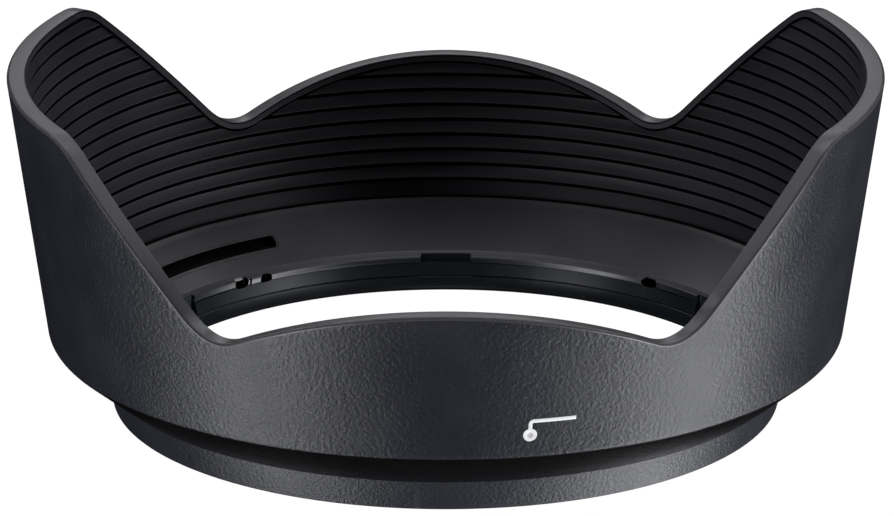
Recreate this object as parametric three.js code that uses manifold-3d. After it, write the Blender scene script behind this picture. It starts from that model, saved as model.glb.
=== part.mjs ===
// Petal lens hood for a camera lens, millimetres, +Z up.
// Origin: centre of the flat mount end, so the hood stands on z = 0 with its petals up.
// The short petals are at +Y and -Y, the long petals at +X and -X.
import * as THREE from 'three';
import { mergeVertices } from 'three/addons/utils/BufferGeometryUtils.js';
import Module from 'manifold-3d';

const wasm = await Module();
wasm.setup();

// Driving dimensions
const HEIGHT = 40;
const GAP = 0.3;

// Fineness of round surfaces
const SEGMENTS = 60;
const RIM_SEGMENTS = 120;
const DOT_SEGMENTS = 20;
const FILLET_STEPS = 3;
const SECTOR_STEP_DEGREES = 3;
const SECTOR_STEPS_MIN = 4;

// Blanks stand this far over what trims them, and cutters this far past what they cut
const TRIM = 2;
const CUTTER_MARGIN = 1;
const WELD = 1e-5;

// Flared wall: radius = base + flare * z
const WALL_OUTER_BASE = 45.35;
const WALL_INNER_BASE = 43.2;
const WALL_FLARE = 0.144;

// Shoulder under the wall, and the tip where it meets the collar
const SHOULDER_Z = 8.7;
const SHOULDER_FILLET = 1.2;
const TIP_OUTER_RADIUS = 40.45;
const TIP_OUTER_Z = 3.8;
const TIP_INNER_RADIUS = 40.05;
const LEDGE_Z = 9.65;
const LEDGE_RADIUS = 45.3;

// Rim: short petals and long petals are cut by sloping planes, joined by round valleys
const SHORT_PETAL_TOP = 26.75;
const SHORT_PETAL_SLOPE = 0.78;
const LONG_PETAL_FOOT_Z = 22.85;
const LONG_PETAL_FOOT_X = 29.65;
const LONG_PETAL_SLOPE = 1.17;
const VALLEY_ROUNDING = 5.5;
const CORNER_ROUNDING = 1.8;

// Stray-light ribs: a sawtooth inside the wall, each tooth with a step facing down
const RIB_COUNT = 15;
const RIB_PITCH = 1.82;
const RIB_FIRST_Z = 11.72;
const RIB_DEPTH = 0.45;

// Mount ring: collar, throat and funnel liner
const COLLAR_FOOT_RADIUS = 39.1;
const COLLAR_TOP_RADIUS = 40;
const COLLAR_TOP_Z = 3.5;
const FOOT_CHAMFER = 0.2;
const THROAT_RADIUS = 38.2;
const FUNNEL_FOOT = new THREE.Vector2(38.6, 4.3);
const FUNNEL_TOP = new THREE.Vector2(44.2, 9.3);
const LINER_WALL = 0.6;
const LINER_CLEARANCE = 0.4;

// Bayonet flange at the mount end: two opposite arcs, with the entry gaps between them
const FLANGE_RADIUS = 36.8;
const FLANGE_EDGE_Z = 0.45;
const FLANGE_STEP_RADIUS = 37.4;
const FLANGE_STEP_Z = 1.65;
const FLANGE_TOP_RADIUS = 37.9;
const FLANGE_TOP_Z = 3;
const FLANGE_END = 53;

// Lugs above the flange: two opposite pairs, each pair with a keyway between its lugs
const LUG_RADIUS = 37.7;
const LUG_BOTTOM_Z = 3.3;
const LUG_TOP_Z = 4.25;
const LUG_START = 4.5;
const LUG_END = 39;
const LUG_CUT_SHORT = 33.5;
const ROOT = 0.15;

// Relief slot and click tongue at the back left, azimuths in degrees from +Y towards -X
const SLOT_START = 30.6;
const SLOT_END = 58;
const SLOT_BOTTOM_Z = 6.2;
const SLOT_TOP_Z = 7.3;
const TONGUE_TIP = 34.5;
const TONGUE_ROOT = 57.4;
const TONGUE_BOTTOM_Z = 4.15;
const BUMP_START = 35.4;
const BUMP_END = 38.4;
const BUMP_INNER_RADIUS = 37.3;
const BUMP_OUTER_RADIUS = 37.85;
const NECK_TOP_Z = 5.2;

// Index mark on the front petal: a dot, a stem and a line, azimuth from -Y towards +X
const MARK_AZIMUTH = 14.9;
const MARK_Z = 11.6;
const MARK_DOT_RADIUS = 0.8;
const MARK_LINE_WIDTH = 0.45;
const MARK_STEM = 1.75;
const MARK_LINE = 5.3;
const MARK_THICKNESS = 0.3;

// Finishes
const SHELL_BLACK = { color: 0x2a2a2d, roughness: 0.62 };
const RING_BLACK = { color: 0x1e1f22, roughness: 0.4 };
const MARK_WHITE = { color: 0xf2f2f0, roughness: 0.5 };

const DEGREE = Math.PI / 180;

// Solid with the geometry's shape; manifold needs shared vertices and positions only
function toSolid(geometry) {
  const bare = geometry.clone();
  bare.deleteAttribute('normal');
  bare.deleteAttribute('uv');
  const merged = mergeVertices(bare, WELD);
  const mesh = new wasm.Mesh({
    numProp: 3,
    vertProperties: new Float32Array(merged.attributes.position.array),
    triVerts: new Uint32Array(merged.index.array),
  });
  return new wasm.Manifold(mesh);
}

function toGeometry(solid) {
  const mesh = solid.getMesh();
  const geometry = new THREE.BufferGeometry();
  geometry.setAttribute('position', new THREE.BufferAttribute(mesh.vertProperties, 3));
  geometry.setIndex(new THREE.BufferAttribute(mesh.triVerts, 1));
  geometry.computeVertexNormals();
  return geometry;
}

// Ring turned about +Z from a closed outline of [radius, z] points, anticlockwise
function turned(outline, segments = SEGMENTS) {
  const points = [...outline, outline[0]].map(([radius, z]) => new THREE.Vector2(radius, z));
  const geometry = new THREE.LatheGeometry(points, segments);
  geometry.rotateX(Math.PI / 2);
  return geometry;
}

// Sector of a flat ring, between two azimuths measured from +Y towards -X
function sector(innerRadius, outerRadius, bottomZ, topZ, startDegrees, endDegrees) {
  const start = Math.PI / 2 + startDegrees * DEGREE;
  const end = Math.PI / 2 + endDegrees * DEGREE;
  const shape = new THREE.Shape();
  shape.absarc(0, 0, outerRadius, start, end, false);
  shape.absarc(0, 0, innerRadius, end, start, true);
  const steps = Math.round((endDegrees - startDegrees) / SECTOR_STEP_DEGREES);
  const curveSegments = Math.max(SECTOR_STEPS_MIN, steps);
  const settings = { depth: topZ - bottomZ, bevelEnabled: false, curveSegments };
  const geometry = new THREE.ExtrudeGeometry(shape, settings);
  geometry.translate(0, 0, bottomZ);
  return geometry;
}

function wallOuter(z) {
  return WALL_OUTER_BASE + WALL_FLARE * z;
}

function wallInner(z) {
  return WALL_INNER_BASE + WALL_FLARE * z;
}

// Height at which a plane, sloping down or up from the axis, meets the outer wall
function planeOnWall(heightAtAxis, slope, directionShare) {
  const radial = slope * directionShare;
  return (heightAtAxis + radial * WALL_OUTER_BASE) / (1 - radial * WALL_FLARE);
}

function smoothMaximum(a, b, rounding) {
  const blend = Math.max(rounding - Math.abs(a - b), 0) / rounding;
  return Math.max(a, b) + blend * blend * rounding / 4;
}

// Rim height at an azimuth, with the angle measured from +X
function rimHeight(angle) {
  const towardsShort = Math.abs(Math.sin(angle));
  const towardsLong = Math.abs(Math.cos(angle));
  const shortAtAxis = SHORT_PETAL_TOP - SHORT_PETAL_SLOPE * wallOuter(SHORT_PETAL_TOP);
  const longAtAxis = LONG_PETAL_FOOT_Z - LONG_PETAL_SLOPE * LONG_PETAL_FOOT_X;
  const shortEdge = planeOnWall(shortAtAxis, SHORT_PETAL_SLOPE, towardsShort);
  const longEdge = planeOnWall(longAtAxis, LONG_PETAL_SLOPE, towardsLong);
  const petals = smoothMaximum(shortEdge, longEdge, VALLEY_ROUNDING);
  return -smoothMaximum(-petals, -HEIGHT, CORNER_ROUNDING);
}

// Everything above the rim: a ring whose underside follows the rim
function aboveRim() {
  const high = HEIGHT + TRIM + CUTTER_MARGIN;
  const inner = WALL_INNER_BASE;
  const outer = wallOuter(high) + CUTTER_MARGIN;
  const geometry = turned([[inner, 0], [outer, 0], [outer, high], [inner, high]], RIM_SEGMENTS);
  const position = geometry.attributes.position;
  for (let i = 0; i < position.count; i += 1) {
    if (position.getZ(i) < high / 2) {
      const angle = Math.atan2(position.getY(i), position.getX(i));
      position.setZ(i, rimHeight(angle));
    }
  }
  return toSolid(geometry);
}

// Corner of an outline replaced by an arc of the given radius
function rounded(before, corner, after, radius, steps) {
  const toBefore = before.clone().sub(corner).normalize();
  const toAfter = after.clone().sub(corner).normalize();
  const halfAngle = Math.acos(toBefore.dot(toAfter)) / 2;
  const bisector = toBefore.clone().add(toAfter).normalize();
  const centre = corner.clone().addScaledVector(bisector, radius / Math.sin(halfAngle));
  const reach = radius / Math.tan(halfAngle);
  const first = corner.clone().addScaledVector(toBefore, reach).sub(centre);
  const last = corner.clone().addScaledVector(toAfter, reach).sub(centre);
  const start = first.angle();
  let turn = last.angle() - start;
  turn -= Math.round(turn / (2 * Math.PI)) * 2 * Math.PI;
  const points = [];
  for (let i = 0; i <= steps; i += 1) {
    const angle = start + turn * i / steps;
    points.push([centre.x + radius * Math.cos(angle), centre.y + radius * Math.sin(angle)]);
  }
  return points;
}

// Point on the funnel at a height, moved outwards square to the funnel's face
function funnelPoint(z, offset) {
  const along = FUNNEL_TOP.clone().sub(FUNNEL_FOOT).normalize();
  const foot = FUNNEL_FOOT.clone().add(new THREE.Vector2(along.y, -along.x).multiplyScalar(offset));
  return [foot.x + (z - foot.y) * along.x / along.y, z];
}

// Height on the offset funnel face at a radius
function funnelHeight(radius, offset) {
  const along = FUNNEL_TOP.clone().sub(FUNNEL_FOOT).normalize();
  const [footRadius, footZ] = funnelPoint(FUNNEL_FOOT.y, offset);
  return footZ + (radius - footRadius) * along.y / along.x;
}

// Inside of the wall from the top rib down: each rib ends below in a step
function ribOutline() {
  const outline = [];
  for (let i = RIB_COUNT - 1; i >= 0; i -= 1) {
    const z = RIB_FIRST_Z + i * RIB_PITCH;
    outline.push([wallInner(z), z], [wallInner(z) + RIB_DEPTH, z]);
  }
  return outline;
}

// Dot, stem and line of the index mark in a plane, grown by a margin, centred on its width
function markSolid(thickness, margin) {
  const dotX = -MARK_LINE / 2;
  const dot = new THREE.CylinderGeometry(
    MARK_DOT_RADIUS + margin, MARK_DOT_RADIUS + margin, thickness, DOT_SEGMENTS);
  dot.rotateX(Math.PI / 2);
  dot.translate(dotX, 0, 0);
  const width = MARK_LINE_WIDTH + 2 * margin;
  const stem = new THREE.BoxGeometry(width, MARK_STEM, thickness);
  stem.translate(dotX, MARK_STEM / 2, 0);
  const line = new THREE.BoxGeometry(MARK_LINE + width, width, thickness);
  line.translate(0, MARK_STEM, 0);
  return toSolid(dot).add(toSolid(stem)).add(toSolid(line));
}

// Places a flat solid on the outer wall, its face out, sunk by a depth below the wall
function onWall(solid, depth) {
  const geometry = toGeometry(solid);
  const lean = Math.atan(WALL_FLARE);
  const radius = wallOuter(MARK_Z) - depth;
  geometry.rotateX(Math.PI / 2 + lean);
  geometry.translate(0, -radius, MARK_Z);
  geometry.rotateZ(MARK_AZIMUTH * DEGREE);
  return toSolid(geometry);
}

function petalShell() {
  const top = HEIGHT + TRIM;
  const tip = new THREE.Vector2(TIP_OUTER_RADIUS, TIP_OUTER_Z);
  const shoulder = new THREE.Vector2(wallOuter(SHOULDER_Z), SHOULDER_Z);
  const brim = new THREE.Vector2(wallOuter(top), top);
  const clearance = LINER_WALL + LINER_CLEARANCE;
  const outline = [
    [tip.x, tip.y],
    ...rounded(tip, shoulder, brim, SHOULDER_FILLET, FILLET_STEPS),
    [brim.x, brim.y],
    [wallInner(top), top],
    ...ribOutline(),
    [wallInner(LEDGE_Z), LEDGE_Z],
    [LEDGE_RADIUS, LEDGE_Z],
    [LEDGE_RADIUS, funnelHeight(LEDGE_RADIUS, clearance)],
    [TIP_INNER_RADIUS, funnelHeight(TIP_INNER_RADIUS, clearance)],
  ];
  const recess = onWall(markSolid(2 * MARK_THICKNESS + 2 * GAP, GAP), 0);
  return toSolid(turned(outline))
    .subtract(aboveRim())
    .subtract(recess);
}

// Mount ring with its tongue still uncut: collar, throat and funnel liner
function mountRingBlank() {
  const outline = [
    [COLLAR_FOOT_RADIUS - FOOT_CHAMFER, 0],
    [COLLAR_FOOT_RADIUS, FOOT_CHAMFER],
    [COLLAR_TOP_RADIUS, COLLAR_TOP_Z],
    funnelPoint(COLLAR_TOP_Z, LINER_WALL),
    funnelPoint(FUNNEL_TOP.y - LINER_WALL / 2, LINER_WALL),
    [FUNNEL_TOP.x, FUNNEL_TOP.y],
    [FUNNEL_FOOT.x, FUNNEL_FOOT.y],
    [THROAT_RADIUS, FUNNEL_FOOT.y],
    [THROAT_RADIUS, 0],
  ];
  return toSolid(turned(outline));
}

// Arc of the bayonet flange between two azimuths: flat below, with a lead-in that steps out above
function flange(startDegrees, endDegrees) {
  const root = THROAT_RADIUS + ROOT;
  const outline = [
    [FLANGE_RADIUS, 0],
    [root, 0],
    [root, FLANGE_TOP_Z],
    [FLANGE_TOP_RADIUS, FLANGE_TOP_Z],
    [FLANGE_STEP_RADIUS, FLANGE_STEP_Z],
    [FLANGE_RADIUS, FLANGE_EDGE_Z],
  ];
  const keep = sector(
    FLANGE_RADIUS - CUTTER_MARGIN,
    root + CUTTER_MARGIN,
    -CUTTER_MARGIN,
    FLANGE_TOP_Z + CUTTER_MARGIN,
    startDegrees,
    endDegrees,
  );
  return toSolid(turned(outline)).intersect(toSolid(keep));
}

function lug(startDegrees, endDegrees) {
  const root = THROAT_RADIUS + ROOT;
  return toSolid(sector(LUG_RADIUS, root, LUG_BOTTOM_Z, LUG_TOP_Z, startDegrees, endDegrees));
}

// Block that holds the tongue, grown by a margin all round except at the slot
function tongueBlock(margin) {
  const marginDegrees = margin / THROAT_RADIUS / DEGREE;
  const inner = LUG_RADIUS - CUTTER_MARGIN;
  const outer = LEDGE_RADIUS;
  const start = TONGUE_TIP - marginDegrees;
  const end = TONGUE_ROOT + marginDegrees;
  return toSolid(sector(inner, outer, TONGUE_BOTTOM_Z - margin, SLOT_BOTTOM_Z, start, end));
}

function mountRing() {
  const slot = toSolid(
    sector(LUG_RADIUS, LEDGE_RADIUS, SLOT_BOTTOM_Z, SLOT_TOP_Z, SLOT_START, SLOT_END));
  return mountRingBlank()
    .add(flange(-FLANGE_END, FLANGE_END))
    .add(flange(180 - FLANGE_END, 180 + FLANGE_END))
    .add(lug(LUG_START, LUG_CUT_SHORT))
    .add(lug(-LUG_END, -LUG_START))
    .add(lug(180 + LUG_START, 180 + LUG_END))
    .add(lug(180 - LUG_END, 180 - LUG_START))
    .subtract(slot)
    .subtract(tongueBlock(GAP));
}

function clickTongue() {
  const bump = toSolid(sector(
    BUMP_INNER_RADIUS, BUMP_OUTER_RADIUS, LUG_BOTTOM_Z, TONGUE_BOTTOM_Z, BUMP_START, BUMP_END));
  const neck = toSolid(sector(
    BUMP_INNER_RADIUS, THROAT_RADIUS + GAP, TONGUE_BOTTOM_Z, NECK_TOP_Z, BUMP_START, BUMP_END));
  return mountRingBlank()
    .intersect(tongueBlock(0))
    .add(bump)
    .add(neck);
}

function piece(name, solid, finish) {
  const material = new THREE.MeshStandardMaterial({ ...finish, metalness: 0 });
  const mesh = new THREE.Mesh(toGeometry(solid), material);
  mesh.name = name;
  return mesh;
}

const mark = onWall(markSolid(MARK_THICKNESS, 0), MARK_THICKNESS / 2);
const hood = new THREE.Group();
hood.add(piece('petal_shell', petalShell(), SHELL_BLACK));
hood.add(piece('mount_ring', mountRing(), RING_BLACK));
hood.add(piece('click_tongue', clickTongue(), RING_BLACK));
hood.add(piece('index_mark', mark, MARK_WHITE));

export default hood;
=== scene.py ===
"""Petal lens hood: fine meshes, materials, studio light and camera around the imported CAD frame.

Sizes are in millimetres and turn into metres in add_mesh(). The lens axis is +Z.
Azimuths are in degrees from +Y, the back, towards -X, the left, unless a comment says otherwise.
"""

import math

import bmesh
import bpy
import numpy as np
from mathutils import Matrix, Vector


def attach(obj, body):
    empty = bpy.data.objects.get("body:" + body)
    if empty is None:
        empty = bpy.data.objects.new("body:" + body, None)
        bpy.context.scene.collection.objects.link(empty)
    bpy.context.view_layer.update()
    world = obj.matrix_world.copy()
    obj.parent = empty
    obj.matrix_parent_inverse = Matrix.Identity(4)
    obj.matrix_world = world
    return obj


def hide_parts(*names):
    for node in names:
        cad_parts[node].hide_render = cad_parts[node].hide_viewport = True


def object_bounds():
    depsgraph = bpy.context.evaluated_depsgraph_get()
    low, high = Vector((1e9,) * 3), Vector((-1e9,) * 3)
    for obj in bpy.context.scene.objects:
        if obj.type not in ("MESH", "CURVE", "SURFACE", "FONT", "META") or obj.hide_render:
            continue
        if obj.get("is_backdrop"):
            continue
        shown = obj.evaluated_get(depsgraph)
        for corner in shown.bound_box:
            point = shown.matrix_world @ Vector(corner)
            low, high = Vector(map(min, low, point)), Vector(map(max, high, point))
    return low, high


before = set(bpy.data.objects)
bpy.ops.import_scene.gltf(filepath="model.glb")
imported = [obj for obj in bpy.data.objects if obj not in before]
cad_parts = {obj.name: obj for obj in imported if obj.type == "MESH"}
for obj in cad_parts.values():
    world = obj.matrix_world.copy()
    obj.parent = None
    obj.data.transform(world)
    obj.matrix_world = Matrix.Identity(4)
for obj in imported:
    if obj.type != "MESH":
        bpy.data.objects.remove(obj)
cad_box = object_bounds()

MM = 0.001
HEIGHT = cad_box[1][2] / MM

# Flared wall: radius = base + flare * z
WALL_OUTER_BASE = 45.35
WALL_INNER_BASE = 43.2
WALL_FLARE = 0.144
LEAN = math.atan(WALL_FLARE)

# Shoulder under the wall, glossy up to a few steps into its bend, the tip where it meets the
# collar, and the ledge over the liner
SHOULDER_Z = 8.7
SHOULDER_FILLET = 1.2
SHOULDER_STEPS = 12
GLOSS_STEPS = 7
TIP_OUTER = (40.45, 3.8)
TIP_INNER_RADIUS = 40.05
TIP_FILLET = 0.12
LEDGE_Z = 9.45
LEDGE_RADIUS = 45.3

# Rim: short and long petals are cut by sloping planes, joined by round valleys
SHORT_PETAL_TOP = 26.75
SHORT_PETAL_SLOPE = 0.78
LONG_PETAL_FOOT_Z = 22.85
LONG_PETAL_FOOT_X = 29.65
LONG_PETAL_SLOPE = 1.17
VALLEY_ROUNDING = 5.5
CORNER_ROUNDING = 1.8
RIM_OUTER_FILLET = 0.35
RIM_INNER_FILLET = 0.12
RIM_LINE = 0.13
RIM_LINE_DEPTH = 0.14

# Stray-light ribs stop short of the rim and leave a plain border
RIB_COUNT = 15
RIB_PITCH = 1.82
RIB_FIRST_Z = 11.72
RIB_CROWN = 0.26
RIB_SETBACK = 0.1
RIB_EDGE = 0.05
RIB_LAND_SHARES = (0.6, 0.4, 0.25, 0.12)
GROOVE_SHARE = 0.27
GROOVE_DEPTH = 0.7
FIRST_GROOVE = 0.45
FIRST_LAND_RECESS = 0.3
BORDER = 0.8
BORDER_GROOVE = 0.34
GROOVE_SIDE = 0.06
WALL_STEPS = 13

# Mount ring: collar, throat and funnel liner, whose face sags a little behind a straight line
COLLAR_FOOT_RADIUS = 39.1
COLLAR_TOP_RADIUS = 40.07
COLLAR_TOP_Z = 3.76
FOOT_FILLET = 0.2
FOOT_FLAT = 0.3
THROAT_RADIUS = 38.2
FUNNEL_FOOT = np.array([38.7, 4.42])
FUNNEL_TOP = np.array([44.2, 9.32])
FUNNEL_SAG = 0.25
FUNNEL_STEPS = 9
LINER_WALL = 0.6
LINER_CLEARANCE = 0.4
LIP_ABOVE = 0.06
LIP_BELOW = 0.1
LIP_INSET = 0.1

# A shelf slopes down from the funnel's rounded foot to the throat and out over the lugs. The
# rounding starts along the line from the foot to the funnel's face at the bend height.
# The rounded foot, the shelf and the lugs' rounded edges are painted lighter as a highlight
RIDGE_FILLET = 0.2
RIDGE_BEND_Z = 6
SHELF_DROP = 0.17

# Bayonet: a flange at the foot, lugs under the shelf and shallow lands beside them
FLANGE_RADIUS = 36.8
FLANGE_OUTLINE = [
    (37.72, 3.18), (37.34, 1.76), (37.42, 1.66), (37.22, 1.58), (36.9, 0.42), (36.8, 0.3), (36.88, 0)]
# Height below which the flange's foot is painted near-black as shade
FLANGE_SHADE_Z = 0.35
FLANGE_END = 53
LUG_RADIUS = 37.5
LUG_BOTTOM_Z = 3.3
LUG_EDGE = 0.2
LUG_TILT = 0.1
LUG_START = 4.5
LUG_END = 39.5
LAND_START = 41.8
LAND_REACH = 0.6
ARC_RAMP = 0.22
COLUMN_SPACING_MIN = 0.04

# Relief slot and click tongue at the back left: azimuths of their ends, in degrees
SLOT_START = 29.9
SLOT_END = 58
SLOT_BOTTOM_Z = 5.98
SLOT_TOP_Z = 7.15
SLOT_CORNER = 0.42
SLOT_MARGIN = 0.02
SLOT_CHAMFER = 0.22
SLOT_CHAMFER_DEPTH = 0.1
SLOT_STEPS = 60
TONGUE_TIP = 34.5
TONGUE_ROOT = 57.4
TONGUE_BOTTOM_Z = 4.15
TONGUE_GAP = 0.02
TONGUE_ROOT_GAP = 0.07
TONGUE_OVERLAP = 0.4
TONGUE_BLOCK_INSIDE = 2
TONGUE_STEPS = 60
CUTTER_INSIDE = 1.5
CUTTER_OUTSIDE = 1

# Small recesses under the shelf: azimuth, width, low, high and corner radius
POCKETS = [
    (35.2, 1.7, 3.1, 4.1, 0.42),
    (38.7, 0.3, 3.1, 4.05, 0.05),
    (40.7, 1.35, 3.05, 3.9, 0.08),
    (-40.3, 1.9, 3.15, 4.1, 0.42),
]
POCKET_DEPTH = 1
POCKET_TRIM = 0.001

# Index mark on the front petal: azimuth from -Y towards +X
MARK_AZIMUTH = 11.67
MARK_Z = 11.6
MARK_DOT_RADIUS = 0.8
MARK_DOT_STEPS = 48
MARK_DIMPLE_RADIUS = 0.3
MARK_DIMPLE_SLOPE = 0.05
MARK_DIMPLE_FLOOR = 0.01
MARK_LINE_WIDTH = 0.45
MARK_STEM = 1.75
MARK_LINE = 5.3
MARK_LINE_START = 0.4
MARK_CORNER = 0.4
MARK_EDGE = 0.03
MARK_PROUD = 0.03
MARK_DOT_PROUD = 0.04
MARK_ROOT = 0.15

# Camera and the middle of the view
VIEW_TARGET = Vector((0.15, 0, 16.8)) * MM
VIEW_ELEVATION = math.radians(19.05)
VIEW_DISTANCE = 1100 * MM
VIEW_LENS = 378.06
SENSOR_WIDTH = 36

# Soft lights stand this far from the hood, in metres, and are a little cool
LIGHT_DISTANCE = 0.6
LIGHT_COLOR = (0.955, 0.965, 1)

# The floor, in metres, lies just under the hood
FLOOR_HALF = 4
FLOOR_DROP = 0.0001

# Size of the slow colour changes, the angle from which an edge stays sharp, the distance within
# which points are welded, and the number of even columns round the axis
CLOUD_SIZE = 9
SHARP_DEGREES = 32
WELD = 0.002
COLUMNS = 720


# ---------------------------------------------------------------- mesh tools

def azimuth_angle(degrees):
    """Angle from +X, in radians, of an azimuth from +Y towards -X."""
    return math.pi / 2 + np.radians(degrees)


def add_mesh(name, vertices, faces, finishes, materials, body, slot, replaced=()):
    """A welded mesh. finishes gives each face's material by index."""
    mesh = bpy.data.meshes.new(name)
    mesh.from_pydata((np.asarray(vertices, float) * MM).tolist(), [], [list(f) for f in faces])
    for material in materials:
        mesh.materials.append(material)
    mesh.polygons.foreach_set("material_index", np.asarray(finishes, np.int32))
    bm = bmesh.new()
    bm.from_mesh(mesh)
    bmesh.ops.remove_doubles(bm, verts=bm.verts, dist=WELD * MM)
    bmesh.ops.dissolve_degenerate(bm, edges=bm.edges, dist=WELD * MM / 4)
    bmesh.ops.recalc_face_normals(bm, faces=bm.faces)
    bm.to_mesh(mesh)
    bm.free()
    piece = bpy.data.objects.new(name, mesh)
    bpy.context.scene.collection.objects.link(piece)
    if body:
        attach(piece, body)
        if replaced:
            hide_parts(*replaced)
    return piece


def shade(piece):
    """Smooth shading with sharp edges."""
    mesh = piece.data
    mesh.polygons.foreach_set("use_smooth", np.ones(len(mesh.polygons), bool))
    mesh.set_sharp_from_angle(angle=math.radians(SHARP_DEGREES))


def ring_surface(rows, angles):
    """Closed surface round the axis. Each row is (radius, height, finish of the band after it)."""
    count = len(angles)
    vertices = []
    for radius, height, _ in rows:
        radius = np.broadcast_to(radius, count)
        height = np.broadcast_to(height, count)
        vertices.append(np.stack([radius * np.cos(angles), radius * np.sin(angles), height], 1))
    faces = []
    finishes = []
    column = np.arange(count)
    following = (column + 1) % count
    for i, row in enumerate(rows):
        here = i * count
        there = (i + 1) % len(rows) * count
        band = np.stack([here + column, here + following, there + following, there + column], 1)
        faces.extend(band.tolist())
        finishes.extend(np.broadcast_to(row[2], count).tolist())
    return np.concatenate(vertices), faces, finishes


def tube_faces(sections, size):
    """Faces between equal closed outlines in a row, and the two flat ends."""
    last = (sections - 1) * size
    faces = [tuple(range(size)), tuple(range(last, last + size))]
    for i in range(sections - 1):
        for j in range(size):
            k = (j + 1) % size
            faces.append((i * size + j, i * size + k, (i + 1) * size + k, (i + 1) * size + j))
    return faces


def swept(sections, azimuths):
    """Solid from closed outlines of (radius, z) points, one at each azimuth, with flat ends."""
    size = len(sections[0])
    vertices = []
    for section, azimuth in zip(sections, azimuths):
        angle = azimuth_angle(azimuth)
        for radius, height in section:
            vertices.append((radius * math.cos(angle), radius * math.sin(angle), height))
    return vertices, tube_faces(len(sections), size)


def fillet(before, corner, after, radius, steps):
    """Points of the arc that rounds a corner of an outline."""
    before, corner, after = (np.asarray(p, float) for p in (before, corner, after))
    to_before = (before - corner) / np.linalg.norm(before - corner)
    to_after = (after - corner) / np.linalg.norm(after - corner)
    half = math.acos(to_before @ to_after) / 2
    bisector = (to_before + to_after) / np.linalg.norm(to_before + to_after)
    centre = corner + bisector * radius / math.sin(half)
    first = corner + to_before * radius / math.tan(half) - centre
    last = corner + to_after * radius / math.tan(half) - centre
    start = math.atan2(first[1], first[0])
    turn = (math.atan2(last[1], last[0]) - start + math.pi) % (2 * math.pi) - math.pi
    angles = start + turn * np.linspace(0, 1, steps + 1)
    return [(centre[0] + radius * math.cos(a), centre[1] + radius * math.sin(a)) for a in angles]


def boolean(piece, cutter, operation):
    """Cuts piece with cutter, or keeps what they share, and removes the cutter."""
    modifier = piece.modifiers.new("cut", "BOOLEAN")
    modifier.object = cutter
    modifier.operation = operation
    modifier.solver = "MANIFOLD"
    bpy.context.view_layer.update()
    graph = bpy.context.evaluated_depsgraph_get()
    result = bpy.data.meshes.new_from_object(piece.evaluated_get(graph))
    piece.modifiers.remove(modifier)
    piece.data = result
    bpy.data.objects.remove(cutter)


def cutter(vertices, faces, material):
    """A solid that boolean() uses up. Its material ends up on the cut faces."""
    return add_mesh("cutter", vertices, faces, [0] * len(faces), [material], None, None)


# ---------------------------------------------------------------- materials

def plastic(name, color, roughness, grain_size, grain_depth, mottle=0.12, wear=0.25, specular=0.5):
    """Moulded plastic: fine grain in the bump, slow colour and gloss changes, lighter worn edges."""
    material = bpy.data.materials.new(name)
    material.use_nodes = True
    nodes = material.node_tree.nodes
    links = material.node_tree.links
    shader = nodes["Principled BSDF"]
    shader.inputs["Specular IOR Level"].default_value = specular
    place = nodes.new("ShaderNodeTexCoord")

    grain = nodes.new("ShaderNodeTexNoise")
    grain.inputs["Scale"].default_value = 1 / (grain_size * MM)
    grain.inputs["Detail"].default_value = 3
    grain.inputs["Roughness"].default_value = 0.6
    links.new(place.outputs["Object"], grain.inputs["Vector"])
    bump = nodes.new("ShaderNodeBump")
    bump.inputs["Strength"].default_value = 1
    bump.inputs["Distance"].default_value = grain_depth * MM
    links.new(grain.outputs["Fac"], bump.inputs["Height"])
    links.new(bump.outputs["Normal"], shader.inputs["Normal"])

    cloud = nodes.new("ShaderNodeTexNoise")
    cloud.inputs["Scale"].default_value = 1 / (CLOUD_SIZE * MM)
    cloud.inputs["Detail"].default_value = 4
    links.new(place.outputs["Object"], cloud.inputs["Vector"])
    uneven = nodes.new("ShaderNodeMapRange")
    uneven.inputs["From Min"].default_value = 0.3
    uneven.inputs["From Max"].default_value = 0.7
    uneven.inputs["To Min"].default_value = roughness * (1 - mottle)
    uneven.inputs["To Max"].default_value = roughness * (1 + mottle)
    links.new(cloud.outputs["Fac"], uneven.inputs["Value"])
    links.new(uneven.outputs["Result"], shader.inputs["Roughness"])

    tint = nodes.new("ShaderNodeValToRGB")
    tint.color_ramp.elements[0].position = 0.3
    tint.color_ramp.elements[1].position = 0.7
    tint.color_ramp.elements[0].color = (*[c * (1 - mottle) for c in color], 1)
    tint.color_ramp.elements[1].color = (*[c * (1 + mottle) for c in color], 1)
    speck = nodes.new("ShaderNodeMix")
    speck.data_type = "FLOAT"
    speck.inputs["Factor"].default_value = 0.5
    links.new(cloud.outputs["Fac"], speck.inputs["A"])
    links.new(grain.outputs["Fac"], speck.inputs["B"])
    links.new(speck.outputs["Result"], tint.inputs["Fac"])

    edges = nodes.new("ShaderNodeNewGeometry")
    wear_and_highlight = nodes.new("ShaderNodeMapRange")
    wear_and_highlight.inputs["From Min"].default_value = 0.52
    wear_and_highlight.inputs["From Max"].default_value = 0.62
    wear_and_highlight.inputs["To Max"].default_value = wear
    links.new(edges.outputs["Pointiness"], wear_and_highlight.inputs["Value"])
    worn = nodes.new("ShaderNodeMix")
    worn.data_type = "RGBA"
    worn.inputs["B"].default_value = (*[min(1, c * 3 + 0.02) for c in color], 1)
    links.new(wear_and_highlight.outputs["Result"], worn.inputs["Factor"])
    links.new(tint.outputs["Color"], worn.inputs["A"])
    links.new(worn.outputs["Result"], shader.inputs["Base Color"])
    return material


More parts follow.
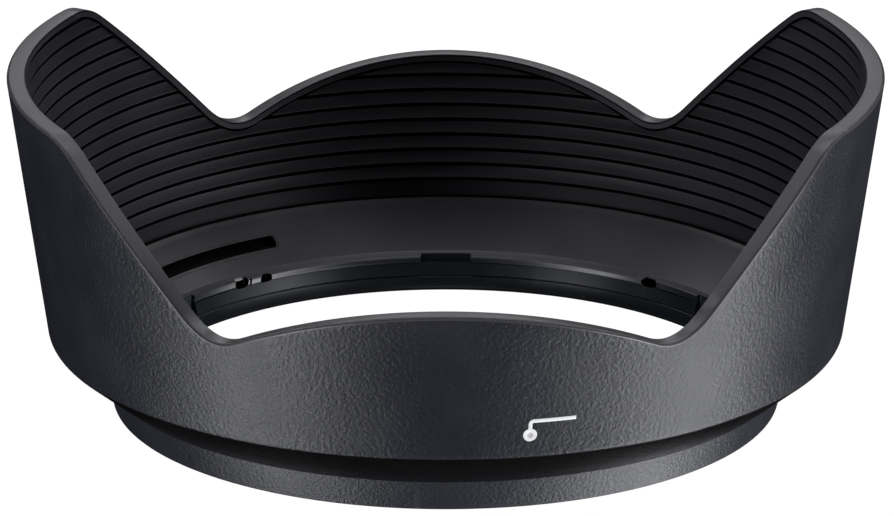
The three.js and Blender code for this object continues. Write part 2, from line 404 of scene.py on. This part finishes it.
def make_materials():
    # name, colour, roughness, grain size and depth in mm
    return {
        "grained": plastic("grained_black", (0.0135, 0.0143, 0.0195), 0.4, 0.48, 0.11),
        "gloss": plastic("gloss_black", (0.003, 0.003, 0.003), 0.28, 0.5, 0.002, wear=0, specular=0.3),
        # rim: a satin finish, its lighter grey a painted highlight on the up-facing face and rounded edges
        "rim": plastic("rim_satin_painted_highlight", (0.06, 0.06, 0.064), 0.38, 0.3, 0.008, wear=0.4),
        "ribs": plastic("rib_matte", (0.0165, 0.0165, 0.022), 0.55, 0.3, 0.006, wear=0.3),
        "funnel": plastic("funnel_satin", (0.0105, 0.0107, 0.0155), 0.45, 0.3, 0.004, specular=0.4),
        "throat": plastic("throat_gloss", (0.004, 0.0055, 0.0075), 0.32, 0.4, 0.002),
        # painted highlight: a lighter plastic on the funnel's rounded foot, the shelf and the lugs' rounded
        # edges
        "wear_and_highlight": plastic("lug_painted_highlight", (0.035, 0.035, 0.039), 0.4, 0.3, 0.003),
        # first land under the ribs: matte, and darker than the ribs as painted shade
        "ledge": plastic("ledge_matte_painted_shade", (0.012, 0.012, 0.016), 0.6, 0.3, 0.006, wear=0.1, specular=0.2),
        "collar": plastic("collar_grain", (0.0125, 0.0133, 0.018), 0.4, 0.42, 0.09),
        # painted shade: near-black on the rim line, rib grooves and steps, lug undercuts, pocket and slot
        # walls and the flange's foot, and on faces out of sight
        "painted_shade": plastic("painted_shade_black", (0.0012, 0.0012, 0.0014), 0.8, 0.4, 0.004, wear=0, specular=0.08),
        "white": plastic("mark_white", (0.82, 0.82, 0.81), 0.5, 0.3, 0.003, mottle=0.03, wear=0),
        "grey": plastic("mark_grey", (0.5, 0.49, 0.5), 0.5, 0.3, 0.003, mottle=0.03, wear=0),
    }


# ---------------------------------------------------------------- petal shell

def wall_outer(z):
    return WALL_OUTER_BASE + WALL_FLARE * z


def wall_inner(z):
    return WALL_INNER_BASE + WALL_FLARE * z


def plane_on_wall(height_at_axis, slope, share):
    """Height at which a plane that slopes away from the axis meets the outer wall."""
    radial = slope * share
    return (height_at_axis + radial * WALL_OUTER_BASE) / (1 - radial * WALL_FLARE)


def smooth_maximum(a, b, rounding):
    """The larger of two heights, with a round corner where they cross."""
    blend = np.maximum(rounding - np.abs(a - b), 0) / rounding
    return np.maximum(a, b) + blend ** 2 * rounding / 4


def rim_height(angle):
    """Rim height at an angle from +X."""
    short_axis = SHORT_PETAL_TOP - SHORT_PETAL_SLOPE * wall_outer(SHORT_PETAL_TOP)
    long_axis = LONG_PETAL_FOOT_Z - LONG_PETAL_SLOPE * LONG_PETAL_FOOT_X
    short_edge = plane_on_wall(short_axis, SHORT_PETAL_SLOPE, np.abs(np.sin(angle)))
    long_edge = plane_on_wall(long_axis, LONG_PETAL_SLOPE, np.abs(np.cos(angle)))
    petals = smooth_maximum(short_edge, long_edge, VALLEY_ROUNDING)
    return -smooth_maximum(-petals, -HEIGHT, CORNER_ROUNDING)


def border_height(angle):
    """Where the ribs end: a border's width below the rim, measured square to the rim's edge."""
    turn = 1e-4
    rise = (rim_height(angle + turn) - rim_height(angle - turn)) / (2 * turn)
    slope = rise / wall_inner(rim_height(angle))
    return rim_height(angle) - BORDER * np.sqrt(1 + slope ** 2)


def rib_height(index):
    return RIB_FIRST_Z + index * RIB_PITCH


def shell_angles():
    """Even columns, and one wherever a rib's edge runs into the border."""
    angles = np.linspace(0, 2 * math.pi, COLUMNS, endpoint=False)
    fine = np.linspace(0, 2 * math.pi, 40 * COLUMNS + 1)
    ends = border_height(fine) - BORDER_GROOVE
    crossings = []
    for i in range(RIB_COUNT):
        over = ends - rib_height(i)
        for k in np.nonzero(over[:-1] * over[1:] < 0)[0]:
            crossings.append(fine[k] + (fine[k + 1] - fine[k]) * over[k] / (over[k] - over[k + 1]))
    crossings = np.array(crossings)
    step = 2 * math.pi / COLUMNS
    clear = [a for a in angles if np.min(np.abs(crossings - a)) > step / 4]
    return np.sort(np.concatenate([clear, crossings]))


def land_recess(share):
    """How far a rib's land lies behind the plain wall: share is 0 at its low edge, 1 at the next rib."""
    land = np.minimum(share / (1 - GROOVE_SHARE), 1)
    return RIB_SETBACK + RIB_CROWN * (1 - (1 - land) ** 2)


def shell_rows(angles):
    """The shell's outline from the tip, up the outside, over the rim and down the inside."""
    grained, gloss, rim, ribs, painted_shade, ledge = range(6)
    rim_z = rim_height(angles)
    shoulder = (wall_outer(SHOULDER_Z), SHOULDER_Z)
    brim = (wall_outer(HEIGHT), HEIGHT)
    clearance = LINER_WALL + LINER_CLEARANCE
    tip_inner = (TIP_INNER_RADIUS, funnel_height(TIP_INNER_RADIUS, clearance))
    rows = []
    for radius, z in fillet((TIP_INNER_RADIUS, TIP_OUTER[1]), TIP_OUTER, shoulder, TIP_FILLET, 3):
        rows.append((radius, z, gloss))
    bend = fillet(TIP_OUTER, shoulder, brim, SHOULDER_FILLET, SHOULDER_STEPS)
    for share in (0.35, 0.7):
        radius = rows[-1][0] + (bend[0][0] - rows[-1][0]) * share
        rows.append((radius, rows[-1][1] + (bend[0][1] - rows[-1][1]) * share, gloss))
    for i, (radius, z) in enumerate(bend):
        rows.append((radius, z, gloss if i < GLOSS_STEPS else grained))

    # Outer wall up to the rounded outer edge of the rim
    foot_z = bend[-1][1]
    outer_z = rim_z - RIM_OUTER_FILLET * (1 + math.sin(LEAN))
    for share in np.linspace(0, 1, WALL_STEPS + 1)[1:-1]:
        z = foot_z + (outer_z - foot_z) * share
        rows.append((wall_outer(z), z, grained))
    # The rim's rounded edges and face take the lighter grey painted highlight
    centre = wall_outer(outer_z) - RIM_OUTER_FILLET * math.cos(LEAN)
    for turn in np.linspace(-LEAN, math.pi / 2, 7):
        rows.append((centre + RIM_OUTER_FILLET * math.cos(turn),
                     rim_z - RIM_OUTER_FILLET * (1 - math.sin(turn)), rim))
    inner_z = rim_z - RIM_INNER_FILLET * (1 - math.sin(LEAN))
    centre = wall_inner(inner_z) + RIM_INNER_FILLET * math.cos(LEAN)
    for turn in np.linspace(math.pi / 2, math.pi - LEAN, 6):
        rows.append((centre + RIM_INNER_FILLET * math.cos(turn),
                     rim_z - RIM_INNER_FILLET * (1 - math.sin(turn)), rim))

    # A fine line under the rim, the plain border and the groove where the ribs end; the line and the groove
    # are painted near-black as shade
    rows[-1] = (*rows[-1][:2], painted_shade)
    line_z = inner_z - RIM_LINE / 2
    rows.append((wall_inner(line_z) + RIM_LINE_DEPTH, line_z, painted_shade))
    line_z = inner_z - RIM_LINE
    rows.append((wall_inner(line_z), line_z, ribs))
    border_z = border_height(angles)
    rows.append((wall_inner(border_z), border_z, painted_shade))
    for drop in (GROOVE_SIDE, BORDER_GROOVE - GROOVE_SIDE):
        rows.append((wall_inner(border_z - drop) + GROOVE_DEPTH, border_z - drop, painted_shade))
    end_z = border_z - BORDER_GROOVE
    end_radius = wall_inner(end_z) + land_recess((end_z - RIB_FIRST_Z) / RIB_PITCH % 1)
    rows.append((end_radius, end_z, ribs))

    def rib_row(z, recess, finish=ribs):
        """One ring of a rib, pressed flat against the border where the rim is lower."""
        below = z < end_z
        radius = np.where(below, wall_inner(z) + recess, end_radius)
        rows.append((radius, np.where(below, z, end_z), finish))

    # Each rib's groove and step are painted near-black as shade
    for i in range(RIB_COUNT - 1, -1, -1):
        z = rib_height(i)
        land_top = 1 - GROOVE_SHARE
        rib_row(z + land_top * RIB_PITCH + GROOVE_SIDE, GROOVE_DEPTH, painted_shade)
        for share in (land_top, *RIB_LAND_SHARES):
            rib_row(z + share * RIB_PITCH, land_recess(share))
        rib_row(z + RIB_EDGE, land_recess(RIB_EDGE / RIB_PITCH))
        rib_row(z, RIB_SETBACK + RIB_EDGE, painted_shade)
        rib_row(z, GROOVE_DEPTH, painted_shade)

    # The plain land under the lowest rib, darker than the ribs as painted shade, the ledge, and the pocket
    # that holds the liner
    rib_row(rib_height(0) - FIRST_GROOVE, FIRST_LAND_RECESS, ledge)
    rows.append((wall_inner(LEDGE_Z) + FIRST_LAND_RECESS, LEDGE_Z, painted_shade))
    rows.append((LEDGE_RADIUS, LEDGE_Z, painted_shade))
    rows.append((LEDGE_RADIUS, funnel_height(LEDGE_RADIUS, clearance), painted_shade))
    rows.append((*tip_inner, painted_shade))
    rows.append((TIP_INNER_RADIUS, TIP_OUTER[1], gloss))
    return rows


def make_shell(materials):
    angles = shell_angles()
    vertices, faces, finishes = ring_surface(shell_rows(angles), angles)
    slots = [materials[k] for k in ("grained", "gloss", "rim", "ribs", "painted_shade", "ledge")]
    shell = add_mesh(
        "petal_shell_body", vertices, faces, finishes, slots, "hood", "shell", ["petal_shell"])
    shade(shell)


# ---------------------------------------------------------------- mount ring

def funnel_direction():
    return (FUNNEL_TOP - FUNNEL_FOOT) / np.linalg.norm(FUNNEL_TOP - FUNNEL_FOOT)


def funnel_point(z, offset=0.0):
    """Point of the funnel at a height, moved outwards square to the funnel's face."""
    along = funnel_direction()
    foot = FUNNEL_FOOT + offset * np.array([along[1], -along[0]])
    return foot[0] + (z - foot[1]) * along[0] / along[1], z


def funnel_face(z):
    """Point of the funnel's visible face at a height, with its sag."""
    share = (z - FUNNEL_FOOT[1]) / (FUNNEL_TOP[1] - FUNNEL_FOOT[1])
    return funnel_point(z)[0] + FUNNEL_SAG * 4 * share * (1 - share), z


def funnel_height(radius, offset):
    """Height of the funnel at a radius, moved outwards square to the funnel's face."""
    along = funnel_direction()
    foot_radius, foot_z = funnel_point(FUNNEL_FOOT[1], offset)
    return foot_z + (radius - foot_radius) * along[1] / along[0]


def arcs_share(azimuths, arcs):
    """1 inside any of the arcs of azimuth and 0 outside, with a short ramp at each end."""
    share = np.zeros(len(azimuths))
    for start, end in arcs:
        middle = (start + end) / 2
        away = np.abs((azimuths - middle + 180) % 360 - 180) - (end - start) / 2
        share = np.maximum(share, np.clip(-away / ARC_RAMP, 0, 1))
    return share


LUG_ARCS = [(LUG_START, LUG_END), (-LUG_END, -LUG_START),
            (180 + LUG_START, 180 + LUG_END), (180 - LUG_END, 180 - LUG_START)]
LAND_ARCS = [(LAND_START, FLANGE_END), (-FLANGE_END, -LAND_START),
             (180 + LAND_START, 180 + FLANGE_END), (180 - FLANGE_END, 180 - LAND_START)]
FLANGE_ARCS = [(-FLANGE_END, FLANGE_END), (180 - FLANGE_END, 180 + FLANGE_END)]


def ring_azimuths():
    """Even columns, and two at each end of a lug, land or flange arc."""
    azimuths = list(np.arange(COLUMNS) * 360 / COLUMNS)
    for start, end in LUG_ARCS + LAND_ARCS + FLANGE_ARCS:
        for azimuth in (start, start + ARC_RAMP, end, end - ARC_RAMP):
            azimuths.append(azimuth % 360)
    azimuths = np.sort(np.array(azimuths))
    keep = np.append(np.diff(azimuths) > COLUMN_SPACING_MIN, True)
    return azimuths[keep]


def ring_rows(azimuths):
    """The ring's outline from the foot, up the collar, over the liner, and down the throat."""
    collar, funnel, throat, painted_shade, wear_and_highlight = range(5)
    lug = np.maximum(arcs_share(azimuths, LUG_ARCS), LAND_REACH * arcs_share(azimuths, LAND_ARCS))
    flange = arcs_share(azimuths, FLANGE_ARCS)
    foot = (COLLAR_FOOT_RADIUS, 0)
    top = (COLLAR_TOP_RADIUS, COLLAR_TOP_Z)
    rows = [(THROAT_RADIUS + FOOT_FLAT, 0, collar)]
    for radius, z in fillet((THROAT_RADIUS, 0), foot, top, FOOT_FILLET, 4):
        rows.append((radius, z, collar))
    rows.append((COLLAR_TOP_RADIUS, COLLAR_TOP_Z, collar))
    rows.append((*funnel_point(COLLAR_TOP_Z, LINER_WALL), painted_shade))
    rows.append((*funnel_point(FUNNEL_TOP[1] - LINER_WALL / 2, LINER_WALL), painted_shade))

    # The liner's lip under the shell's ledge, then the funnel's face
    lip = wall_inner(LEDGE_Z) + FIRST_LAND_RECESS
    rows.append((lip, FUNNEL_TOP[1] - LIP_BELOW, funnel))
    rows.append((lip, FUNNEL_TOP[1] + LIP_ABOVE, painted_shade))
    rows.append((FUNNEL_TOP[0] + LIP_INSET, FUNNEL_TOP[1] + LIP_ABOVE, funnel))
    rows.append((*FUNNEL_TOP, funnel))
    for share in np.linspace(0, 1, FUNNEL_STEPS + 1)[1:-1]:
        z = FUNNEL_TOP[1] + (FUNNEL_FOOT[1] - FUNNEL_TOP[1]) * share
        rows.append((*funnel_face(z), funnel))
    shelf_z = FUNNEL_FOOT[1] - SHELF_DROP
    shelf_end = (THROAT_RADIUS, shelf_z)
    # The funnel's rounded foot and the shelf carry the painted highlight
    for radius, z in fillet(funnel_face(RIDGE_BEND_Z), FUNNEL_FOOT, shelf_end, RIDGE_FILLET, 3):
        rows.append((radius, z, wear_and_highlight))

    # Lugs: the shelf runs out over them to a rounded edge, a leaning face and an undercut
    lug_face = THROAT_RADIUS - (THROAT_RADIUS - LUG_RADIUS) * lug
    lug_z = shelf_z - SHELF_DROP * lug
    edge_finish = np.where(lug > 0, wear_and_highlight, throat)
    rows.append((*shelf_end, wear_and_highlight))
    # The lugs' rounded edges carry the same painted highlight
    for turn in np.linspace(0, math.pi / 2, 4):
        radius = lug_face + LUG_EDGE * lug * (1 - math.sin(turn))
        rows.append((radius, lug_z - LUG_EDGE * lug * (1 - math.cos(turn)), edge_finish))
    rows[-1] = (*rows[-1][:2], throat)
    # The undercut under each lug is painted near-black as shade
    rows.append((lug_face + LUG_TILT * lug, LUG_BOTTOM_Z, painted_shade))
    rows.append((THROAT_RADIUS, LUG_BOTTOM_Z, throat))
    # The flange's foot, up to a small height, is painted near-black as shade
    for radius, z in FLANGE_OUTLINE:
        finish = throat if z > FLANGE_SHADE_Z else painted_shade
        rows.append((THROAT_RADIUS + (radius - THROAT_RADIUS) * flange, z, finish))
    rows[-1] = (*rows[-1][:2], collar)
    return rows


def slot_sections(grow, depth=None):
    """Cutter along the relief slot with round corners, grown all round.

    It goes right through, or only to a depth below the funnel's face.
    """
    azimuths = []
    sections = []
    degree_mm = math.radians(1) * funnel_face(SLOT_BOTTOM_Z)[0]
    start = -grow
    end = (SLOT_END - SLOT_START) * degree_mm + grow
    radius = SLOT_CORNER + grow
    corner = radius * (1 - np.cos(np.linspace(0, math.pi / 2, 7)))
    distances = [*(start + corner), *np.linspace(start + radius, end - radius, SLOT_STEPS)[1:-1]]
    distances += [end - d for d in corner[::-1]]
    for distance in distances:
        near = min(distance - start, end - distance, radius)
        inset = radius - math.sqrt(max(radius ** 2 - (radius - near) ** 2, 0))
        low = SLOT_BOTTOM_Z - grow + inset + SLOT_MARGIN
        high = SLOT_TOP_Z + grow - inset - SLOT_MARGIN
        low_radius = funnel_face(low)[0]
        high_radius = funnel_face(high)[0]
        low_behind = high_behind = LEDGE_RADIUS + CUTTER_OUTSIDE
        if depth:
            low_behind = low_radius + depth
            high_behind = high_radius + depth
        sections.append([
            (low_radius - CUTTER_INSIDE, low), (low_behind, low), (high_behind, high),
            (high_radius - CUTTER_INSIDE, high)])
        azimuths.append(SLOT_START + distance / degree_mm)
    return sections, azimuths


def tongue_sections(gap, root_gap):
    """Block that holds the click tongue, grown by a gap below and at the tip, and one at the root."""
    start = TONGUE_TIP - math.degrees(gap / THROAT_RADIUS)
    end = TONGUE_ROOT + math.degrees(root_gap / THROAT_RADIUS)
    low = TONGUE_BOTTOM_Z - gap
    high = SLOT_BOTTOM_Z + TONGUE_OVERLAP
    inside = LUG_RADIUS - TONGUE_BLOCK_INSIDE
    outline = [(inside, low), (LEDGE_RADIUS, low), (LEDGE_RADIUS, high), (inside, high)]
    azimuths = np.linspace(start, end, TONGUE_STEPS)
    return [outline] * len(azimuths), azimuths


def pocket_cutters():
    """Small recesses in the lugs at the back: a stop notch, the click edge and two release pockets."""
    inner = FLANGE_RADIUS
    outer = THROAT_RADIUS + POCKET_DEPTH
    for azimuth, width, low, high, corner in POCKETS:
        half = width / 2
        turns = corner * (1 - np.cos(np.linspace(0, math.pi / 2, 5)))
        offsets = [*(turns - half), *(half - turns[::-1])]
        sections = []
        for offset in offsets:
            near = min(half - abs(offset), corner)
            inset = corner - math.sqrt(max(corner ** 2 - (corner - near) ** 2, 0))
            bottom = low + inset
            top = high - inset + POCKET_TRIM
            sections.append([(inner, bottom), (outer, bottom), (outer, top), (inner, top)])
        yield swept(sections, [azimuth + math.degrees(o / THROAT_RADIUS) for o in offsets])


def make_ring(materials):
    """The ring, with the slot cut through it, and the tongue cut out of it."""
    azimuths = ring_azimuths()
    vertices, faces, finishes = ring_surface(ring_rows(azimuths), azimuth_angle(azimuths))
    slots = [materials[k] for k in ("collar", "funnel", "throat", "painted_shade", "wear_and_highlight")]
    painted_shade = materials["painted_shade"]
    ring = add_mesh("mount_ring_body", vertices, faces, finishes, slots, "hood", "ring", ["mount_ring"])
    chamfer = swept(*slot_sections(SLOT_CHAMFER, SLOT_CHAMFER_DEPTH))
    boolean(ring, cutter(*chamfer, materials["funnel"]), "DIFFERENCE")
    # The slot's walls, the pockets and the gaps round the tongue take the near-black painted shade
    boolean(ring, cutter(*swept(*slot_sections(0)), painted_shade), "DIFFERENCE")
    for shape in pocket_cutters():
        boolean(ring, cutter(*shape, painted_shade), "DIFFERENCE")
    tongue = bpy.data.objects.new("click_tongue_spring", ring.data.copy())
    bpy.context.scene.collection.objects.link(tongue)
    boolean(tongue, cutter(*swept(*tongue_sections(0, 0)), painted_shade), "INTERSECT")
    boolean(ring, cutter(*swept(*tongue_sections(TONGUE_GAP, TONGUE_ROOT_GAP)), painted_shade), "DIFFERENCE")
    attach(tongue, "click_tongue")
    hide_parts("click_tongue")
    shade(ring)
    shade(tongue)


# ---------------------------------------------------------------- index mark

def on_wall(across, up, proud):
    """Point of the outer wall beside the index dot, moved out square to the wall."""
    z = MARK_Z + up * math.cos(LEAN) - proud * math.sin(LEAN)
    radius = wall_outer(MARK_Z + up * math.cos(LEAN)) + proud * math.cos(LEAN)
    angle = -math.pi / 2 + math.radians(MARK_AZIMUTH) + across / wall_outer(MARK_Z)
    return radius * math.cos(angle), radius * math.sin(angle), z


def dot_mesh():
    """Round white dot with a soft edge and a shallow grey dimple, whose middle welds to a point."""
    steps = MARK_DOT_STEPS
    # radius, height over the wall, finish of the band before it: 0 is white and 1 is grey
    profile = [
        (MARK_DOT_RADIUS, -MARK_ROOT, 0), (MARK_DOT_RADIUS, MARK_PROUD * 0.5, 0),
        (MARK_DOT_RADIUS - MARK_EDGE, MARK_DOT_PROUD, 0),
        (MARK_DIMPLE_RADIUS + MARK_DIMPLE_SLOPE, MARK_DOT_PROUD, 0),
        (MARK_DIMPLE_RADIUS, MARK_DIMPLE_FLOOR, 1), (WELD / 2, MARK_DIMPLE_FLOOR, 1)]
    vertices = []
    faces = []
    finishes = []
    for radius, proud, _ in profile:
        for k in range(steps):
            turn = 2 * math.pi * k / steps
            vertices.append(on_wall(radius * math.cos(turn), radius * math.sin(turn), proud))
    for i in range(len(profile) - 1):
        for k in range(steps):
            n = (k + 1) % steps
            faces.append((i * steps + k, i * steps + n, (i + 1) * steps + n, (i + 1) * steps + k))
            finishes.append(profile[i + 1][2])
    faces.append(tuple(range(steps)))
    finishes.append(0)
    return vertices, faces, finishes


def line_path():
    """Centre line of the bent line: up from the dot, round the corner and along."""
    points = [(0, MARK_LINE_START), (0, MARK_STEM - MARK_CORNER)]
    for turn in np.linspace(math.pi, math.pi / 2, 8)[1:]:
        points.append((MARK_CORNER + MARK_CORNER * math.cos(turn),
                       MARK_STEM - MARK_CORNER + MARK_CORNER * math.sin(turn)))
    for share in np.linspace(0, 1, 12)[1:]:
        points.append((MARK_CORNER + (MARK_LINE - MARK_CORNER) * share, MARK_STEM))
    return np.array(points)


def line_mesh():
    """The bent line as a thin bar with a flat crown and soft shoulders."""
    path = line_path()
    along = np.gradient(path, axis=0)
    along /= np.linalg.norm(along, axis=1)[:, None]
    side = np.stack([-along[:, 1], along[:, 0]], 1)
    half = MARK_LINE_WIDTH / 2
    section = [
        (-half, -MARK_ROOT), (-half, MARK_PROUD * 0.4), (-half + MARK_EDGE, MARK_PROUD),
        (half - MARK_EDGE, MARK_PROUD), (half, MARK_PROUD * 0.4), (half, -MARK_ROOT)]
    vertices = []
    for point, out in zip(path, side):
        for offset, proud in section:
            across, up = point + out * offset
            vertices.append(on_wall(across, up, proud))
    return vertices, tube_faces(len(path), len(section))


def make_mark(materials):
    slots = [materials["white"], materials["grey"]]
    dot = add_mesh("index_mark_dot", *dot_mesh(), slots, "hood", "mark", ["index_mark"])
    vertices, faces = line_mesh()
    line = add_mesh(
        "index_mark_line", vertices, faces, [0] * len(faces), slots[:1], "hood", "mark")
    shade(dot)
    shade(line)


# ---------------------------------------------------------------- stage, light, camera

def softbox(name, azimuth, elevation, width, height, power):
    """Area light aimed at the hood. Azimuth in degrees from -Y, the front, towards +X."""
    light = bpy.data.lights.new(name, "AREA")
    light.shape = "RECTANGLE"
    light.size = width
    light.size_y = height
    light.energy = power
    light.color = LIGHT_COLOR
    lamp = bpy.data.objects.new(name, light)
    turn = math.radians(azimuth)
    rise = math.radians(elevation)
    direction = Vector((math.sin(turn) * math.cos(rise), -math.cos(turn) * math.cos(rise), math.sin(rise)))
    lamp.location = VIEW_TARGET + direction * LIGHT_DISTANCE
    lamp.rotation_euler = direction.to_track_quat("Z", "Y").to_euler()
    bpy.context.scene.collection.objects.link(lamp)


def make_lights():
    # name, azimuth, elevation, width, height, power
    for box in (
            ("key_left", -46, -6, 0.13, 0.16, 1.6),
            ("key_right", 62, -6, 0.12, 0.16, 2.3),
            ("side_left", -60, -26, 0.16, 0.2, 0.85),
            ("side_right", 78, -26, 0.16, 0.2, 1.05),
            ("low_left", -60, -48, 0.25, 0.2, 0.8),
            ("low_front", 60, -48, 0.25, 0.2, 0.77),
            ("low_right", 90, -48, 0.25, 0.2, 1.07),
            ("back_left", -135, 42, 0.2, 0.15, 0.44),
            ("back_right", 135, 42, 0.2, 0.15, 0.44),
            ("high_left", -90, 64, 0.25, 0.2, 0.29),
            ("high_right", 90, 64, 0.25, 0.2, 0.31),
            ("front_high", 0, 48, 0.3, 0.12, 0.12),
            ("back_high", 180, 70, 0.3, 0.15, 0.79),
            ("back", 180, 30, 0.3, 0.15, 0.34)):
        softbox(*box)


def make_stage():
    """A white floor and background that are seen but don't light the hood."""
    material = bpy.data.materials.new("studio_floor")
    material.use_nodes = True
    nodes = material.node_tree.nodes
    shader = nodes["Principled BSDF"]
    shader.inputs["Base Color"].default_value = (0.1, 0.1, 0.1, 1)
    shader.inputs["Roughness"].default_value = 1
    shader.inputs["Specular IOR Level"].default_value = 0
    shader.inputs["Emission Color"].default_value = (1, 1, 1, 1)
    shader.inputs["Emission Strength"].default_value = 1
    half = FLOOR_HALF
    mesh = bpy.data.meshes.new("floor")
    corners = [(-half, -half, 0), (half, -half, 0), (half, half, 0), (-half, half, 0)]
    mesh.from_pydata(corners, [], [(0, 1, 2, 3)])
    mesh.materials.append(material)
    floor = bpy.data.objects.new("floor", mesh)
    floor.location.z = -FLOOR_DROP
    floor.visible_diffuse = False
    floor.visible_glossy = False
    floor.visible_shadow = False
    bpy.context.scene.collection.objects.link(floor)
    floor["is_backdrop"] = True
    world = bpy.data.worlds.new("studio")
    bpy.context.scene.world = world
    world.use_nodes = True
    background = world.node_tree.nodes["Background"]
    background.inputs["Color"].default_value = (1, 1, 1, 1)
    background.inputs["Strength"].default_value = 1
    world.cycles_visibility.diffuse = False
    world.cycles_visibility.glossy = False


def make_camera():
    camera = bpy.data.cameras.new("camera")
    camera.lens = VIEW_LENS
    camera.sensor_width = SENSOR_WIDTH
    camera.clip_end = 10
    view = bpy.data.objects.new("camera", camera)
    direction = Vector((0, -math.cos(VIEW_ELEVATION), math.sin(VIEW_ELEVATION)))
    view.location = VIEW_TARGET + direction * VIEW_DISTANCE
    view.rotation_euler = direction.to_track_quat("Z", "Y").to_euler()
    bpy.context.scene.collection.objects.link(view)
    bpy.context.scene.camera = view


def write_sizes():
    boxes = {"cad": cad_box, "visual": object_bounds()}
    plain = {name: [list(map(float, corner)) for corner in box] for name, box in boxes.items()}


finishes = make_materials()
make_shell(finishes)
make_ring(finishes)
make_mark(finishes)
make_stage()
make_lights()
make_camera()
bpy.context.scene.view_settings.view_transform = "Standard"
write_sizes()
